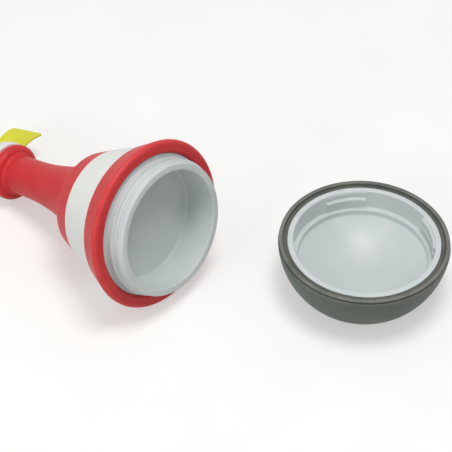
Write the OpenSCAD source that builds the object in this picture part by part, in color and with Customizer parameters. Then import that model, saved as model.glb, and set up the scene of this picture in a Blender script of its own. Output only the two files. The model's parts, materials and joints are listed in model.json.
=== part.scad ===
// Floating treat toy, shaped as a striped marker buoy.
// A weighted bowl stands open on its flat base. The buoy body lies beside it with its mouth up,
// and screws onto the bowl. Units are millimetres, +Z is up, and the origin is the centre of
// the bowl's flat base. The body is drawn upright in a frame of its own, whose origin is the
// middle of its flange face, and place_body() then lays it on the floor.

/* [Bowl] */
// Outer radius of the bowl at its rim, and of the body's flange
rim_r = 60; // [54:0.5:66]
// Height of the bowl's rim above the floor
bowl_h = 44; // [39:0.1:50]
// Radius at which the bowl's round outside meets the floor
foot_r = 38.35; // [34:0.05:42]
// Wall of the rubber shell
shell_t = 3.2; // [2:0.1:4]
// Thickness of the shell under the ballast
base_t = 3.6; // [2.5:0.1:5]
// Radius of the rounded corner round the flat base
base_round = 4; // [1:0.1:8]
// Height of the rounded lip above the rim
lip_h = 0.95; // [0.3:0.05:1.2]
// Radial width of the lip
lip_w = 2.6; // [2:0.05:3.2]
// How far the lip stands in from the rim's outer radius
lip_in = 0.7; // [0.4:0.05:1.2]
// Radius of the lip's rounded top
lip_crown = 3; // [2:0.1:8]
// Height of the hairline groove under the lip
hairline_h = 1.2; // [0.6:0.05:1.6]
// Depth of the hairline groove behind the lip's outer side
hairline_d = 0.8; // [0.3:0.05:1.2]
// Height of the bevel under the hairline groove
bevel_h = 1.5; // [0.8:0.05:2.5]
// Height of the thick ring that carries the liner, below the rim
collar_depth = 14; // [9:0.5:15]

/* [Liner] */
// Width of the groove between the lip and the liner's rim, which holds the gasket
groove_w = 3.4; // [2.6:0.05:4.2]
// Radial width of the liner's flat rim
liner_rim_w = 3.9; // [3:0.1:4.2]
// Thickness of the liner's flat rim
liner_rim_t = 2; // [1.5:0.1:3]
// Depth of the liner's flat rim under the bowl's rim
liner_drop = 0.5; // [0.2:0.1:1.5]
// Wall of the liner
liner_t = 2.2; // [1.5:0.1:2.6]
// Chamfer on the liner's bore edge
liner_chamfer = 0.5; // [0.2:0.1:1]
// Depth of the ledge under the bowl's rim
ledge_depth = 16; // [14.5:0.1:18]
// Radial width of the ledge
ledge_w = 3.4; // [2.5:0.1:6]
// Height of the straight wall under the ledge
step_h = 4.3; // [2.5:0.1:6]
// Gap between the middle of the liner's dished floor and the shell's base
floor_gap = 0.2; // [0.1:0.1:3]

/* [Thread] */
// Rise of the thread in one turn
pitch = 6; // [5:0.1:6.5]
// Gap between the crest of the male ridge and the liner's bore
thread_gap = 0.5; // [0.3:0.05:0.8]
// Height of the male ridge over its root
ridge_h = 1.6; // [1:0.1:1.8]
// Width of the male ridge at its root
ridge_root_w = 3; // [2.4:0.1:3.2]
// Width of the male ridge at its crest
ridge_crest_w = 1.4; // [0.8:0.1:1.6]
// Turns of the male ridge
ridge_turns = 1.6; // [1.2:0.1:1.8]
// Angle over which each end of the male ridge runs out
ridge_run = 58; // [20:1:90]
// Number of lug groups round the bore
lug_groups = 4; // [2:1:5]
// Arc that each lug covers
lug_arc = 35; // [20:1:50]
// Angle of the first lug group's middle
lug_angle = 101; // [0:1:180]
// Depth of the lug's middle under the bowl's rim, at the first group
lug_depth = 7.2; // [6.5:0.1:8]
// Least height of a lug's middle over the ledge
lug_clear = 4; // [3:0.1:4.2]
// Thickness of a lug at its foot
lug_root_t = 2.6; // [1.8:0.1:2.7]
// Thickness of a lug at its inner edge
lug_tip_t = 2.4; // [0.8:0.1:2.5]
// Angle over which each end of a lug runs out
lug_run = 1.5; // [1:0.5:5]
// Gap between the lugs and the male root
lug_gap = 0.4; // [0.3:0.05:0.8]
// Thickness of the pad above a lug that stands alone
pad_t = 0.2; // [0.1:0.05:0.3]
// Height of the pad above a lug that stands alone
pad_h = 3.2; // [1:0.1:3.6]
// Depth of the pad's top under the bowl's rim
pad_depth = 1.2; // [1.1:0.1:2.5]
// Gap left between the flange and the lip when the toy is closed
seat_gap = 0.1; // [0.05:0.05:0.3]
// Travel of the screw from the lifted body to the closed toy
lift = 20.5; // [16:0.1:21]

/* [Gasket and ballast] */
// Height of the rim gasket
gasket_h = 3.4; // [2.5:0.1:4]
// Depth of the gasket's top under the bowl's rim
gasket_drop = 0.6; // [0.3:0.1:2]
// Gap on each side of the gasket
gasket_gap = 0.15; // [0.05:0.05:0.3]
// Radial width of the ballast ring
ballast_w = 16; // [8:0.5:20]
// Height of the ballast ring at its outer edge
ballast_h = 6; // [3:0.1:7]
// Gap between the ballast ring and the pieces round it
ballast_gap = 0.5; // [0.2:0.1:1]

/* [Body] */
// Wall of the soft body skins
skin_t = 3; // [2:0.1:3.5]
// Radius of the flange's rounded outer edge
edge_r = 2.5; // [1.5:0.1:3]
// Radial width of the flange face, up to its hole
flange_w = 9.2; // [8.5:0.1:9.6]
// Radius of the flange's rounded edge round the hole
hole_round = 3; // [2:0.1:4]
// Depth of the flange's edge at the hole behind its face
hole_drop = 1.4; // [0.4:0.1:1.8]
// Height of the flange band
flange_band_h = 18; // [16:0.5:22]
// How far the body has drawn in from the flange at the top of the flange band
flange_band_in = 7.7; // [6:0.1:8.5]
// Height of the white band
white_band_h = 31; // [26:0.5:36]
// How far the body draws in over the white band
white_band_in = 10.8; // [9:0.1:12.5]
// Height of the shoulder over the white band
shoulder_h = 16.5; // [12:0.5:20]
// How far the shoulder's side leans in over its height
shoulder_in = 6.2; // [4:0.1:7]
// Radius of the shoulder's rounded corner
shoulder_round = 5; // [3:0.1:6]
// How far the flange band stands proud of the white band
proud = 0.6; // [0.2:0.1:1]
// Neck radius where it leaves the shoulder
neck_r0 = 26.8; // [22:0.1:28]
// Smallest radius of the neck
neck_r1 = 14.5; // [13:0.1:17]
// Length of the neck's flare over the shoulder
flare_l = 64.5; // [50:0.5:70]
// Length of the neck over the shoulder
neck_l = 80; // [77:0.5:90]
// Radius of the fillet at the neck's end
neck_fillet = 2.2; // [1:0.1:3]

/* [Collar, head and flag] */
// How far the collar ring stands out from the neck
collar_out = 6.6; // [5.5:0.1:8.5]
// Height of the collar ring, rounded over its whole outer side
collar_h = 9; // [7:0.1:11]
// Radius of the head
head_r = 21.2; // [20.5:0.1:24]
// Height of the head's centre over the collar ring
head_rise = 2.5; // [1:0.1:5]
// Length of the head's stem in the neck
stem_l = 14; // [8:0.5:16]
// Gap round the stem in the collar and the neck
stem_gap = 0.3; // [0.1:0.05:0.5]
// How far the flag's free edge stands out from the head
flag_out = 23; // [18:0.1:30]
// Depth of the flag's root in the head
flag_depth = 15.2; // [8:0.1:17]
// Height of the flag's lower edge over the head's centre
flag_rise = 7; // [4:0.1:10]
// Height of the flag along the axis
flag_h = 28; // [22:0.5:32]
// How far the free edge leans in over the flag's height
flag_lean_in = 5.2; // [0:0.1:8]
// Radius of the corner at the free edge's upper end
flag_corner = 5; // [2:0.5:8]
// Thickness of the flag
flag_t = 2.4; // [2:0.1:4]
// Height of the flag's wave to either side
flag_wave = 4.6; // [0:0.1:5]
// Length of half a wave
flag_half_wave = 37.5; // [28:0.5:45]
// Distance of the wave's crest from the free edge
flag_crest = 10.8; // [5:0.1:16]
// Gap on each side of the flag in its slot
slot_gap = 0.1; // [0.05:0.05:0.3]

/* [Cup] */
// Wall of the cup where it carries the thread
cup_wall = 5; // [3.5:0.1:8]
// How far the cup stands out of the flange face
cup_out = 13.2; // [12:0.1:14]
// Depth of the cup's floor behind the flange face
cup_in = 12.5; // [10:0.1:13]
// Floor and hidden wall of the cup
cup_t = 2.2; // [1.5:0.1:2.6]
// Gap round the cup's shoulder in the flange hole
cup_gap = 0.2; // [0.1:0.05:0.5]
// Gap between the cup's hidden flange and the body's wall
cup_seat_gap = 0.9; // [0.5:0.1:2]
// Thickness of the cup's hidden flange
cup_seat_t = 2; // [1:0.1:3]
// How far the cup's shoulder sits back from the flange's edge at the hole
cup_sink = 0.1; // [0.1:0.1:0.5]
// Chamfer on the cup's edges
cup_chamfer = 0.8; // [0.3:0.1:1.2]
// Chamfer between the cup's floor and wall
cup_corner = 1.5; // [0.5:0.1:3]

/* [Foam floats] */
// Gap round the large float in the body
float_gap = 0.6; // [0.4:0.1:2]
// Gap round the neck float at the narrow end of the neck
neck_float_gap = 0.7; // [0.5:0.1:3]
// Height of the neck float's lower end over the shoulder
neck_float_rise = 9.5; // [6:0.5:15]
// Room left between the neck float and the stem when the toy is closed
neck_float_room = 2; // [1:0.5:10]
// Chamfer on the edges of the foam
foam_chamfer = 2; // [0.5:0.1:3]

/* [Place on the floor] */
// How far the flange centre stands to the left, beyond the radii of bowl and flange
body_off = 22.5; // [15:0.5:50]
// Place of the flange centre behind the bowl's axis
body_y = 0.9; // [-20:0.1:20]
// Direction in plan that the cup's mouth faces
heading = -40; // [-60:0.5:-20]

/* [Hidden] */

// Smoothness of turned pieces, and steps of the arcs and curves in their outlines
$fn = 96;
ARC_STEPS = 8;
CURVE_STEPS = 14;
// Steps in one turn of a thread ridge
THREAD_STEPS = 48;
// Depth by which ridges and cuts reach into or past what they meet
BITE = 0.3;

// Colours
SHELL_GREY = "#5A625A";
GASKET_GREY = "#3F4341";
PALE_GREY = "#D2D9D8";
SIGNAL_RED = "#CE3A3A";
BAND_WHITE = "#E6EAE4";
FLAG_YELLOW = "#DEDC28";
IRON = "#6A6A6C";
FOAM = "#F2F2EE";

// Bowl: its round outside is a sphere through the rim and the foot
sphere_z = (rim_r * rim_r + bowl_h * bowl_h - foot_r * foot_r) / (2 * bowl_h);
sphere_r = norm([foot_r, sphere_z]);
round_at = [sqrt(pow(sphere_r - base_round, 2) - pow(sphere_z - base_round, 2)), base_round];
round_reach = round_at - [0, sphere_z];
lip_out_r = rim_r - lip_in;
lip_r = lip_out_r - lip_w;
hairline_low = bowl_h - hairline_h;
bevel_low = hairline_low - bevel_h * (lip_in + BITE) / lip_in;
liner_top = bowl_h - liner_drop;
liner_rim_r = lip_r - groove_w;
liner_r = liner_rim_r - liner_rim_w;
liner_out_r = liner_r + liner_t;
shelf_z = liner_top - liner_rim_t;
groove_z = bowl_h - gasket_drop - gasket_h;
thick_z = bowl_h - collar_depth;
ledge_z = bowl_h - ledge_depth;
ledge_r = liner_r - ledge_w;
dish_top = ledge_z - step_h;
dish_bottom = base_t + floor_gap + liner_t;
dish_sag = dish_top - dish_bottom;
dish_r = (ledge_r * ledge_r + dish_sag * dish_sag) / (2 * dish_sag);
dish_z = dish_bottom + dish_r;
hollow_r = sphere_r - shell_t;
ballast_r = sqrt(hollow_r * hollow_r - pow(sphere_z - base_t, 2)) - ballast_gap;

// Thread: crest, root and lug radii
crest_r = liner_r - thread_gap;
root_r = crest_r - ridge_h;
lug_r = root_r + lug_gap;
lug_low = ledge_z + lug_clear;
lug_high = liner_top - liner_chamfer - lug_root_t / 2;

// Body outline: heights are over the flange face
flange_bore_r = rim_r - flange_w;
hole_lean = acos(1 - hole_drop / hole_round);
face_in_r = flange_bore_r + hole_round * sin(hole_lean);
band_z0 = flange_band_h;
band_r0 = rim_r - flange_band_in;
band_z1 = band_z0 + white_band_h;
band_r1 = band_r0 - white_band_in;
shoulder_z = band_z1 + shoulder_h;
shoulder_r = band_r1 - shoulder_in;
flare_z = shoulder_z + flare_l;
neck_z = shoulder_z + neck_l;
cone_stations = [[0, rim_r], [band_z0, band_r0], [band_z1, band_r1], [shoulder_z, shoulder_r]];
corner_z = shoulder_z - shoulder_round;
side_lean = atan2(band_r1 - shoulder_r, shoulder_z - band_z1);
corner_r = cone_r(corner_z) - shoulder_round / cos(side_lean);
collar_r = neck_r1 + collar_out;
collar_z = neck_z + collar_h / 2;
head_base = neck_z + collar_h;
head_z = head_base + head_rise;
flag_r = head_r + flag_out;
flag_root = head_r - flag_depth;
flag_z = head_z + flag_rise;
flag_lean = atan2(flag_lean_in, flag_h);
flag_round_z = flag_h - flag_corner;
flag_round_r = flag_r - (flag_corner + flag_round_z * sin(flag_lean)) / cos(flag_lean);
stem_r = neck_r1 - skin_t - stem_gap;

// Cup and foam, which fit the skins
cup_r = root_r - cup_wall;
cup_shoulder_r = flange_bore_r - cup_gap;
cup_shoulder_z = hole_drop + cup_sink;
cup_seat_r = cone_r(skin_t + cup_seat_t) - skin_t - cup_seat_gap;
neck_float_r = neck_r1 - skin_t - neck_float_gap;
neck_float_z = shoulder_z + neck_float_rise;
neck_float_top = neck_z - stem_l - lift - neck_float_room;

// Lying body: the flange edge and the head both touch the floor
contact_dr = rim_r - edge_r;
contact_dz = head_z - edge_r;
contact_reach = norm([contact_dr, contact_dz]);
tilt = acos((head_r - edge_r) / contact_reach) - atan2(contact_dz, contact_dr);
body_z = (rim_r - edge_r) * cos(tilt) + edge_r * sin(tilt) + edge_r;

// Closing path: one swing about a slanted axis stands the body up over the bowl, and the
// screw then brings it down. The male ridge is timed to run midway between the lugs.
mouth_dir = [cos(heading) * cos(tilt), sin(heading) * cos(tilt), sin(tilt)];
side_dir = [-sin(heading), cos(heading), 0];
up_dir = cross(mouth_dir, side_dir);
lying = [-(2 * rim_r + body_off), body_y, body_z];
closed_z = lip_h + seat_gap;
standing = [0, 0, bowl_h + closed_z + lift];
swing_raw = cross(standing - lying, mouth_dir + [0, 0, 1]);
swing_unit = swing_raw / norm(swing_raw);
mouth_flat = across(mouth_dir, swing_unit);
down_flat = across([0, 0, -1], swing_unit);
swing_turn = cross(mouth_flat, down_flat) * swing_unit;
swing_axis = swing_turn < 0 ? -swing_unit : swing_unit;
swing_angle = atan2(abs(swing_turn), mouth_flat * down_flat);
up_lifted = turned(up_dir, swing_axis, swing_angle);
lifted_turn = atan2(up_lifted[1], up_lifted[0]);
thread_z = pitch / 2 - closed_z - lift - lug_depth + pitch * (lifted_turn - lug_angle) / 360;
thread_low = -cup_out + cup_chamfer + ridge_root_w / 2;
thread_start = 360 * (thread_low - thread_z) / pitch;

function across(v, axis) = v - (v * axis) * axis;
function turned(v, axis, a) = v * cos(a) + cross(axis, v) * sin(a) + axis * (axis * v) * (1 - cos(a));
function arc(cr, cz, r, a0, a1) =
    [for (i = [0:ARC_STEPS]) let (t = a0 + (a1 - a0) * i / ARC_STEPS) [cr + r * cos(t), cz + r * sin(t)]];
function cone_r(z) = lookup(z, cone_stations);
function neck_part(z) = max(0, (flare_z - z) / (flare_z - shoulder_z));
function neck_r(z) = neck_r1 + (neck_r0 - neck_r1) * pow(neck_part(z), 2);
function flare(inset) =
    [for (i = [0:CURVE_STEPS]) let (z = shoulder_z + (flare_z - shoulder_z) * i / CURVE_STEPS)
        [neck_r(z) - inset, z]];
function reversed(list) = [for (i = [len(list) - 1:-1:0]) list[i]];
function flag_offset(y) = flag_wave * cos(180 * (y - flag_r + flag_crest) / flag_half_wave);
function flag_side(side, gap) =
    [for (i = [0:CURVE_STEPS]) let (y = flag_root - gap + (flag_r - flag_root + gap) * i / CURVE_STEPS)
        [flag_offset(y) + side * (flag_t / 2 + gap), y]];

// Puts what is drawn upright in the body's own frame onto the floor.
module place_body() {
    translate(lying) rotate([0, -(90 + tilt), heading]) children();
}

// Turns an outline given as [radius, height] points.
module turned_piece(points) {
    rotate_extrude() polygon(points);
}

// Angles from start over a sweep, with a whole number of even steps.
function steps_over(start, sweep) =
    let (n = ceil(THREAD_STEPS * sweep / 360)) [for (i = [0:n]) start + sweep * i / n];

// A ridge of trapezoid section that climbs a cylinder. foot and tip are radii, start, sweep and
// run are angles, and z0 is its middle's height at angle 0. Both its ends dive under the foot
// over the run.
module ridge(foot, tip, foot_w, tip_w, start, sweep, run, z0) {
    run_in = steps_over(start, run);
    run_out = steps_over(start + sweep - run, run);
    level = steps_over(start + run, sweep - 2 * run);
    angles = concat(run_in, [for (i = [1:len(level) - 2]) level[i]], run_out);
    steps = len(angles) - 1;
    sunk = foot + (tip > foot ? -BITE : BITE);
    dive = (foot + sunk) / 2;
    points = [for (a = angles)
        let (z = z0 + pitch * a / 360, rise = min(1, (a - start) / run, (start + sweep - a) / run),
            r = dive + (tip - dive) * rise)
        each [[sunk, z - foot_w / 2, a], [r, z - tip_w / 2, a], [r, z + tip_w / 2, a],
            [sunk, z + foot_w / 2, a]]];
    sides = [for (i = [0:steps - 1], k = [0:3])
        [4 * i + k, 4 * i + (k + 1) % 4, 4 * i + 4 + (k + 1) % 4, 4 * i + 4 + k]];
    ends = [[3, 2, 1, 0], [for (k = [0:3]) 4 * steps + k]];
    place = [for (p = points) [p[0] * cos(p[2]), p[0] * sin(p[2]), p[1]]];
    faces = concat(sides, ends);
    polyhedron(place, tip > foot ? faces : [for (f = faces) reversed(f)], convexity = 10);
}

// Rubber hemisphere with a flat base, a rounded lip, and a hairline groove and a bevel under it.
module bowl_shell() color(SHELL_GREY) rotate_extrude() difference() {
    union() {
        intersection() {
            translate([0, sphere_z]) circle(r = sphere_r);
            square([sphere_r, bowl_h]);
        }
        intersection() {
            translate([lip_out_r - lip_w / 2, bowl_h + lip_h - lip_crown]) circle(r = lip_crown);
            translate([lip_r, bowl_h - lip_crown]) square([lip_w, lip_crown + lip_h]);
        }
    }
    // Hollow under the ring that carries the liner
    intersection() {
        translate([0, sphere_z]) circle(r = hollow_r);
        translate([-BITE, base_t]) square([sphere_r, thick_z - base_t]);
    }
    // Bore for the liner's wall, seat for its rim, and groove for the gasket
    translate([-BITE, thick_z - BITE]) square([liner_out_r + BITE, bowl_h]);
    translate([-BITE, shelf_z]) square([liner_rim_r + BITE, bowl_h]);
    translate([liner_rim_r - BITE, groove_z]) square([lip_r - liner_rim_r + BITE, bowl_h]);
    // Outer side of the lip, hairline groove and bevel
    polygon([[rim_r + BITE, bowl_h + lip_h], [lip_out_r, bowl_h + lip_h], [lip_out_r, bowl_h],
        [lip_out_r - hairline_d, bowl_h], [lip_out_r - hairline_d, hairline_low],
        [lip_out_r, hairline_low], [rim_r + BITE, bevel_low]]);
    // Rounded corner round the base
    difference() {
        polygon([round_at, round_at - [0, 2 * base_round],
            round_at + 2 * base_round / norm(round_reach) * round_reach]);
        translate(round_at) circle(r = base_round);
    }
}

// Hard inner bowl: flat rim, bore with lugs, ledge, short wall and dished floor.
module bowl_liner() color(PALE_GREY) {
    rotate_extrude() union() {
        polygon([[liner_r, liner_top - liner_chamfer], [liner_r + liner_chamfer, liner_top],
            [liner_rim_r, liner_top], [liner_rim_r, shelf_z], [liner_out_r, shelf_z],
            [liner_out_r, ledge_z - liner_t], [ledge_r, ledge_z - liner_t],
            [ledge_r, ledge_z], [liner_r, ledge_z]]);
        translate([ledge_r, dish_top]) square([liner_t, step_h]);
        intersection() {
            difference() {
                translate([0, dish_z]) circle(r = dish_r + liner_t);
                translate([0, dish_z]) circle(r = dish_r);
            }
            square([ledge_r + liner_t, dish_top + BITE]);
        }
    }
    for (g = [0:lug_groups - 1]) lug_group(360 * g / lug_groups);
}

// Lugs of one group, which stands at an angle past the first one. They follow the thread, and a
// lug is there wherever it fits between the ledge and the bore's edge. A pad stands above one
// that is alone.
module lug_group(past) {
    start = lug_angle + past - lug_arc / 2;
    follow = bowl_h - lug_depth + pitch * (past > 180 ? past - 360 : past) / 360;
    rows = [for (k = [-1:1]) let (z = follow + k * pitch) if (z > lug_low && z < lug_high) z];
    for (z = rows)
        ridge(liner_r, lug_r, lug_root_t, lug_tip_t, start, lug_arc, lug_run,
            z - pitch * (lug_angle + past) / 360);
    if (len(rows) == 1)
        rotate(start) rotate_extrude(angle = lug_arc)
            translate([liner_r - pad_t, bowl_h - pad_depth - pad_h]) square([pad_t + BITE, pad_h]);
}

// Soft ring in the groove between the liner's rim and the lip.
module rim_gasket() color(GASKET_GREY) turned_piece([
    [liner_rim_r + gasket_gap, groove_z], [lip_r - gasket_gap, groove_z],
    [lip_r - gasket_gap, groove_z + gasket_h - gasket_gap],
    [(lip_r + liner_rim_r) / 2, groove_z + gasket_h],
    [liner_rim_r + gasket_gap, groove_z + gasket_h - gasket_gap]]);

// Iron ring between shell and liner, dished to clear the liner's floor.
module ballast_ring() color(IRON) difference() {
    translate([0, 0, base_t]) cylinder(r = ballast_r, h = ballast_h);
    translate([0, 0, base_t - BITE]) cylinder(r = ballast_r - ballast_w, h = ballast_h + 2 * BITE);
    translate([0, 0, dish_z]) sphere(r = dish_r + liner_t + ballast_gap);
}

// Threaded cup, drawn with its mouth down.
module insert_cup() color(PALE_GREY) place_body() {
    turned_piece([
        [0, cup_in], [cup_r - cup_corner, cup_in], [cup_r, cup_in - cup_corner],
        [cup_r, -cup_out + cup_chamfer], [cup_r + cup_chamfer, -cup_out],
        [root_r - cup_chamfer, -cup_out], [root_r, -cup_out + cup_chamfer],
        [root_r, cup_shoulder_z], [cup_shoulder_r, cup_shoulder_z], [cup_shoulder_r, skin_t],
        [cup_seat_r, skin_t], [cup_seat_r, skin_t + cup_seat_t], [cup_r + cup_t, skin_t + cup_seat_t],
        [cup_r + cup_t, cup_in + cup_t], [0, cup_in + cup_t]]);
    ridge(root_r, crest_r, ridge_root_w, ridge_crest_w, thread_start, 360 * ridge_turns,
        ridge_run, thread_z);
}

// Red band with the flange face and its two rounded edges.
module flange_band() color(SIGNAL_RED) place_body() turned_piece(concat(
    arc(face_in_r, hole_round, hole_round, -90 - hole_lean, -90),
    arc(rim_r - edge_r, edge_r, edge_r, -90, 0),
    [[rim_r, edge_r + proud], [band_r0 + proud, band_z0], [band_r0 - skin_t, band_z0],
        [cone_r(skin_t) - skin_t, skin_t], [flange_bore_r, skin_t]]));

// White band between the two red ones.
module white_band() color(BAND_WHITE) place_body() turned_piece([
    [band_r0 - skin_t, band_z0], [band_r0, band_z0], [band_r1, band_z1], [band_r1 - skin_t, band_z1]]);

// Red shoulder and neck in one skin.
module neck_skin() color(SIGNAL_RED) place_body() turned_piece(concat(
    [[band_r1 - skin_t, band_z1], [band_r1, band_z1]],
    arc(corner_r, corner_z, shoulder_round, side_lean, 90),
    flare(0),
    [[neck_r1, neck_z - neck_fillet]],
    reversed(arc(neck_r1 + neck_fillet, neck_z - neck_fillet, neck_fillet, 90, 180)),
    [[neck_r1 - skin_t, neck_z]],
    reversed(flare(skin_t)),
    [[neck_r0 - skin_t, shoulder_z - skin_t]],
    reversed(arc(corner_r, corner_z, shoulder_round - skin_t, side_lean, 90))));

// Rounded red ring at the neck's end.
module collar_ring() color(SIGNAL_RED) place_body() turned_piece(concat(
    [[stem_r + stem_gap, neck_z]],
    arc(collar_r - collar_h / 2, collar_z, collar_h / 2, -90, 90),
    [[stem_r + stem_gap, head_base]]));

// White head with its stem and the slot for the flag.
module head_ball() color(BAND_WHITE) place_body() difference() {
    union() {
        intersection() {
            translate([0, 0, head_z]) sphere(r = head_r);
            translate([0, 0, head_base]) cylinder(r = 2 * head_r, h = 2 * head_r);
        }
        translate([0, 0, neck_z - stem_l]) cylinder(r = stem_r, h = stem_l + collar_h + BITE);
    }
    flag_plate(slot_gap);
}

// Wavy flag whose root sits in the head's slot. Its free edge leans in, up to a rounded corner.
module signal_flag() color(FLAG_YELLOW) place_body() intersection() {
    flag_plate(0);
    translate([0, 0, flag_z]) rotate([90, 0, 90]) linear_extrude(2 * head_r, center = true)
        polygon(concat([[0, 0], [flag_r, 0]],
            arc(flag_round_r, flag_round_z, flag_corner, flag_lean, 90), [[0, flag_h]]));
}

// The flag's wavy plate before its outline is cut, larger by a gap.
module flag_plate(gap) {
    translate([0, 0, flag_z - gap]) linear_extrude(flag_h + 2 * gap)
        polygon(concat(flag_side(1, gap), reversed(flag_side(-1, gap))));
}

// Foam block in the wide part of the body.
module bell_float() color(FOAM) place_body() turned_piece([
    [0, cup_in + cup_t + float_gap],
    [inner_r(band_z0) - foam_chamfer, cup_in + cup_t + float_gap],
    [inner_r(band_z0), band_z0],
    [inner_r(band_z1), band_z1],
    [inner_r(corner_z) - foam_chamfer, corner_z - foam_chamfer],
    [0, corner_z - foam_chamfer]]);

function inner_r(z) = cone_r(z) - skin_t - float_gap;

// Foam plug that lies loose in the neck, with room at its upper end.
module neck_float() color(FOAM) place_body() turned_piece([
    [0, neck_float_z], [neck_float_r - foam_chamfer, neck_float_z],
    [neck_float_r, neck_float_z + foam_chamfer],
    [neck_float_r, neck_float_top - foam_chamfer],
    [neck_float_r - foam_chamfer, neck_float_top],
    [0, neck_float_top]]);

bowl_shell();
bowl_liner();
rim_gasket();
ballast_ring();
insert_cup();
flange_band();
white_band();
neck_skin();
collar_ring();
head_ball();
signal_flag();
bell_float();
neck_float();
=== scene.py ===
# %% [markdown]
# # A treat toy shaped like a marker buoy
#
# The toy lies open on a table. Its heavy rubber bowl stands on a flat base, and the striped buoy
# body lies beside it and shows the threaded cup that screws onto the bowl. The working parts
# exist already as exact solids, which say how large each piece is, where it lies and how it
# moves. They are loaded first, as a frame that stays as it is. Each piece that can be seen then
# gets a skin of its own around that frame: a soft outline, a finer mesh and a real material.

# %% The frame and the tools
import json
import math

import bmesh
import bpy
import mathutils
import numpy as np
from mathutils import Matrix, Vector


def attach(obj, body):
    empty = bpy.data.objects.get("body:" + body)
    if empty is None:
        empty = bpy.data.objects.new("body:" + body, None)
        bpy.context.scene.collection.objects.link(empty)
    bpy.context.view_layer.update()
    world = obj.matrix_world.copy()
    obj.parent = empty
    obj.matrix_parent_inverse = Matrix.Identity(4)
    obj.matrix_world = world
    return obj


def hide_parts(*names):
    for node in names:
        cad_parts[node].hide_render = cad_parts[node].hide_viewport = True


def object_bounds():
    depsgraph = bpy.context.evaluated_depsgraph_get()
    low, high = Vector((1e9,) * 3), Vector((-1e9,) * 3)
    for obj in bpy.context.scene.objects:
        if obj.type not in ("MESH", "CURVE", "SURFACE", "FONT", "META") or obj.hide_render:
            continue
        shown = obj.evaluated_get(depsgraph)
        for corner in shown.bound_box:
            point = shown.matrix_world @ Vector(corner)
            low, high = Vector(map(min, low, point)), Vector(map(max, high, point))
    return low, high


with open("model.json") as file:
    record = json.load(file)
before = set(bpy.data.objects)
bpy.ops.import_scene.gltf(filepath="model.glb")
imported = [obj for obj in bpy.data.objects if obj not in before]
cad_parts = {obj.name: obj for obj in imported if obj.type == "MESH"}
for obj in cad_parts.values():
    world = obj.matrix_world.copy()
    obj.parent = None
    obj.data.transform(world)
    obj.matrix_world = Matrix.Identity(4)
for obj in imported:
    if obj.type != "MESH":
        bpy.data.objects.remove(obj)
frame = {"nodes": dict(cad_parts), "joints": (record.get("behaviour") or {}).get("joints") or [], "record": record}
cad_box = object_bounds()
record = frame["record"]
BODY_OF = {node: body for body, nodes in record["behaviour"]["bodies"].items() for node in nodes}
JOINTS = {joint["name"]: joint for joint in frame["joints"]}
print("the frame holds", ", ".join(sorted(BODY_OF)))

# %% [markdown]
# ## Where the buoy body lies
#
# Everything on the body is round about one slanted axis. It is easiest to draw such pieces
# upright, with heights measured from the flange face towards the head, and to lay them down at
# the end. The screw joint of the frame knows the axis and the middle of the flange face, so the
# lying frame is built from it: its third direction runs to the head, its second stays level,
# and its first points up as far as it can. Shapes are drawn in millimetres, and Blender works in
# metres, so the same step also scales them.

# %% From the drawing frame to the table
MM = 0.001
mouth = np.array(JOINTS["screw_turn"]["axis"])
flange_centre = np.array(JOINTS["screw_turn"]["pos_m"])
level = np.array([-mouth[1], mouth[0], 0]) / math.hypot(mouth[0], mouth[1])
upward = np.cross(mouth, level)
LYING = np.array([upward, level, -mouth])


def on_table(points):
    """Bowl pieces are drawn where they stand: only millimetres turn to metres."""
    return points * MM


def lying(points):
    """Body pieces: x, y and height go along the frame's three directions from the flange centre."""
    return flange_centre + points * MM @ LYING


print("the mouth looks along", mouth.round(3), "from", (flange_centre / MM).round(1), "mm")

# %% [markdown]
# ## Outlines
#
# A moulded round piece is an outline turned about an axis. An outline here is a list of corners
# with radius and height, and three helpers finish it. One draws arcs, one rounds corners as a
# mould does, and one splits long sides. The splitting matters for shading: smooth shading blends
# the directions of neighbouring faces, so a long flat side next to a small rounding would look
# bent along its whole length, and a split one bends only in its last short strip.

# %% Arcs


def arc(centre, radius, start, stop, steps=9):
    """Points of an arc: the centre plus the radius times the cosine and sine of even angles."""
    turn = np.radians(np.linspace(start, stop, steps))
    return np.column_stack([centre[0] + radius * np.cos(turn), centre[1] + radius * np.sin(turn)])


print("a quarter arc of radius 1:", arc([0, 0], 1, 0, 90, 3).round(2).tolist())

# %% Rounded corners


def soften(corners, radii, steps=6):
    """Rounds the corners between the two ends of an outline.

    With unit directions u into a corner and v out of it, and the turn between them, the arc
    starts radius * tan(turn / 2) before the corner, and its centre lies radius / cos(turn / 2)
    from the corner along v - u. Points between the arc's ends come from spherical blending.
    """
    corners = np.asarray(corners, float)
    radius = np.broadcast_to(np.asarray(radii, float), len(corners) - 2)[:, None]
    sides = np.diff(corners, axis=0)
    unit = sides / np.linalg.norm(sides, axis=1)[:, None]
    u = unit[:-1]
    v = unit[1:]
    turn = np.arccos(np.clip((u * v).sum(1), -1, 1))[:, None].clip(1e-4)
    reach = radius * np.tan(turn / 2)
    inward = (v - u) / np.linalg.norm(v - u, axis=1)[:, None].clip(1e-9)
    centre = corners[1:-1] + inward * radius / np.cos(turn / 2)
    first = corners[1:-1] - u * reach - centre
    last = corners[1:-1] + v * reach - centre
    share = np.linspace(0, 1, steps)[None, :, None]
    blend = np.sin((1 - share) * turn[:, None]) * first[:, None]
    blend = (blend + np.sin(share * turn[:, None]) * last[:, None]) / np.sin(turn[:, None])
    rounded = (centre[:, None] + blend).reshape(-1, 2)
    return np.vstack([corners[:1], rounded, corners[-1:]])


print("a rounded square corner:", soften([[0, 0], [2, 0], [2, 2]], 1, 3).round(2).tolist())

# %% Short sides
LONGEST_SIDE = 1.4
SAME_POINT = 1e-4


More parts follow.
